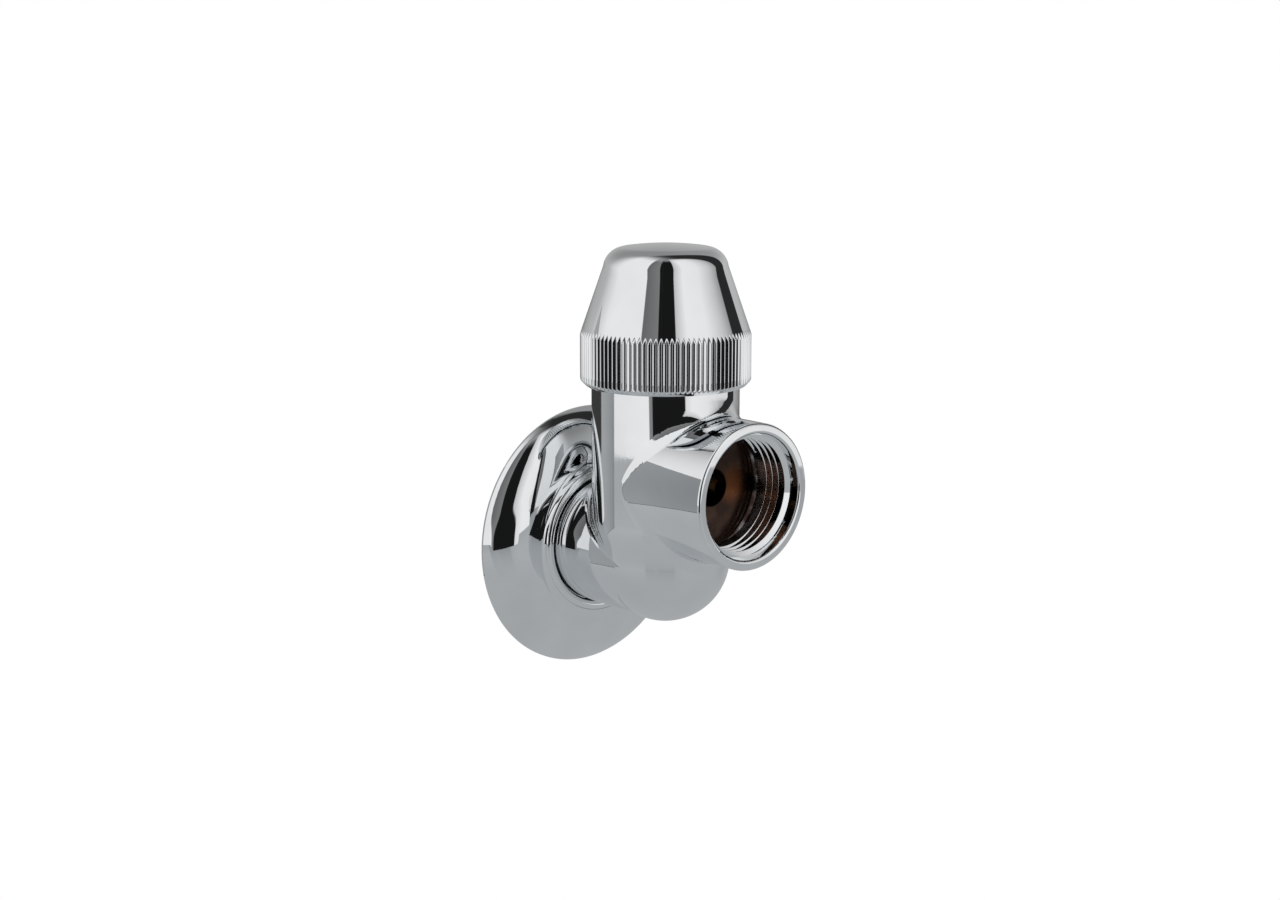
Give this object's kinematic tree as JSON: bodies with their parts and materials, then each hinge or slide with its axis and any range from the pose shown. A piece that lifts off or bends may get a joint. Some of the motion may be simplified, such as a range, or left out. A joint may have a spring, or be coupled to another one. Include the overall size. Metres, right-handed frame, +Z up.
{
  "type": "angle stop valve",
  "caption": "Chromed wall stop valve with a low inlet branch, a higher threaded outlet facing forward, a fluted bell handle on top and a domed wall escutcheon.",
  "frame": {"origin": "where the inlet axis meets the wall face", "axes": "+Z up along the spindle axis direction, +Y into the wall along the inlet, -Y towards the outlet, X across"},
  "size_m": [0.0588, 0.0676, 0.0971],
  "materials": {
    "cast_body": "polished chrome plate on cast brass",
    "rosette_chrome": "polished chrome plate on pressed brass",
    "bell_chrome": "polished chrome plate",
    "turned_brass": "turned",
    "spindle_brass": "turned",
    "spring_steel": "phosphated",
    "rubber_black": "matt",
    "rubber_seat": "matt",
    "ptfe_white": "smooth",
    "plastic_insert": "moulded"
  },
  "bodies": {
    "body": {"valve_body": "cast_body", "escutcheon": "rosette_chrome", "escutcheon_grip_ring": "rubber_black", "inlet_seal_ring": "ptfe_white", "bonnet": "turned_brass", "bonnet_seal": "rubber_black"},
    "handle": {"handle_bell": "bell_chrome", "handle_insert": "plastic_insert", "handle_snap_ring": "spring_steel", "spindle": "spindle_brass", "spindle_thrust_washer": "ptfe_white", "spindle_lower_ring": "rubber_black", "spindle_upper_ring": "rubber_black", "spindle_circlip": "spring_steel"},
    "disc": {"disc_carrier": "turned_brass", "seat_washer": "rubber_seat", "washer_retainer": "spindle_brass", "washer_screw": "spindle_brass"}
  },
  "joints": [
    {"name": "handle_turn", "type": "hinge", "parent": "body", "child": "handle", "pos_m": [0, -0.0273, 0], "axis": [0, 0, 1], "range_deg": [0, 1080]},
    {"name": "disc_lift", "type": "slide", "parent": "body", "child": "disc", "axis": [0, 0, 1], "range_m": [0, 0.006]}
  ],
  "couplings": [
    {"joint": "disc_lift", "follows": "handle_turn", "m_per_rad": 0.00031831}
  ]
}
